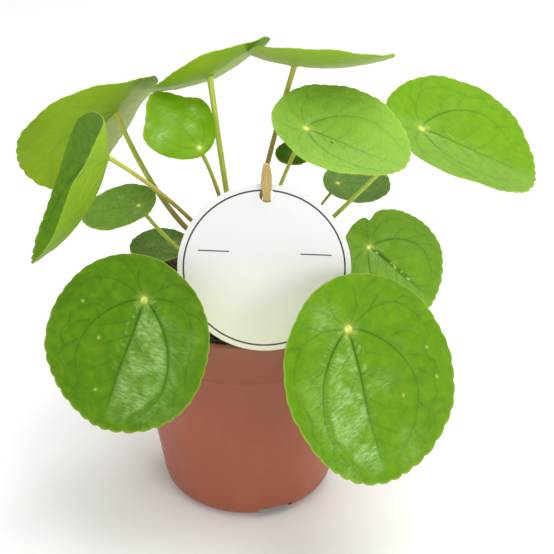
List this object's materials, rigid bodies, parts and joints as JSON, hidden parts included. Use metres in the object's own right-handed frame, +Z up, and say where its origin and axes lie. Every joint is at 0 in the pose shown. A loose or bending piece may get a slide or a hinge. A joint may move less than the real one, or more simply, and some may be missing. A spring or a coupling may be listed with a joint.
{
  "type": "potted pilea plant",
  "caption": "Young potted pilea with round peltate leaves on long stalks, in a tapered nursery pot, with a round blank card label on a bamboo stake.",
  "frame": {"origin": "middle of the flat boss under the pot, level with the foot, on the surface the pot stands on", "axes": "+Z up along the pot's axis; the front, where the label stands, faces -Y; +X to the right seen from the front"},
  "size_m": [0.2497, 0.1842, 0.2358],
  "materials": {
    "terracotta_plastic": "satin moulded polypropylene, terracotta brown",
    "peat": "moist crumbly peat potting soil, made of plant fibre",
    "stem_bark": "young woody stem with leaf scars",
    "label_card": "matt white coated card",
    "bamboo": "bare split bamboo",
    "leaf_green": "smooth waxy leaf, glossier above than below",
    "stalk_green": "smooth yellow-green leaf stalk"
  },
  "bodies": {
    "root": {"nursery_pot": "terracotta_plastic", "potting_soil": "peat", "main_stem": "stem_bark", "plant_label": "label_card", "label_stake": "bamboo", "leaf_01_blade": "leaf_green", "leaf_01_petiole": "stalk_green", "leaf_02_blade": "leaf_green", "leaf_02_petiole": "stalk_green", "leaf_03_blade": "leaf_green", "leaf_03_petiole": "stalk_green", "leaf_04_blade": "leaf_green", "leaf_04_petiole": "stalk_green", "leaf_05_blade": "leaf_green", "leaf_05_petiole": "stalk_green", "leaf_06_blade": "leaf_green", "leaf_06_petiole": "stalk_green", "leaf_07_blade": "leaf_green", "leaf_07_petiole": "stalk_green", "leaf_08_blade": "leaf_green", "leaf_08_petiole": "stalk_green", "leaf_09_blade": "leaf_green", "leaf_09_petiole": "stalk_green", "leaf_10_blade": "leaf_green", "leaf_10_petiole": "stalk_green", "leaf_11_blade": "leaf_green", "leaf_11_petiole": "stalk_green", "leaf_12_blade": "leaf_green", "leaf_12_petiole": "stalk_green", "leaf_13_blade": "leaf_green", "leaf_13_petiole": "stalk_green", "leaf_14_blade": "leaf_green", "leaf_14_petiole": "stalk_green"}
  },
  "joints": []
}
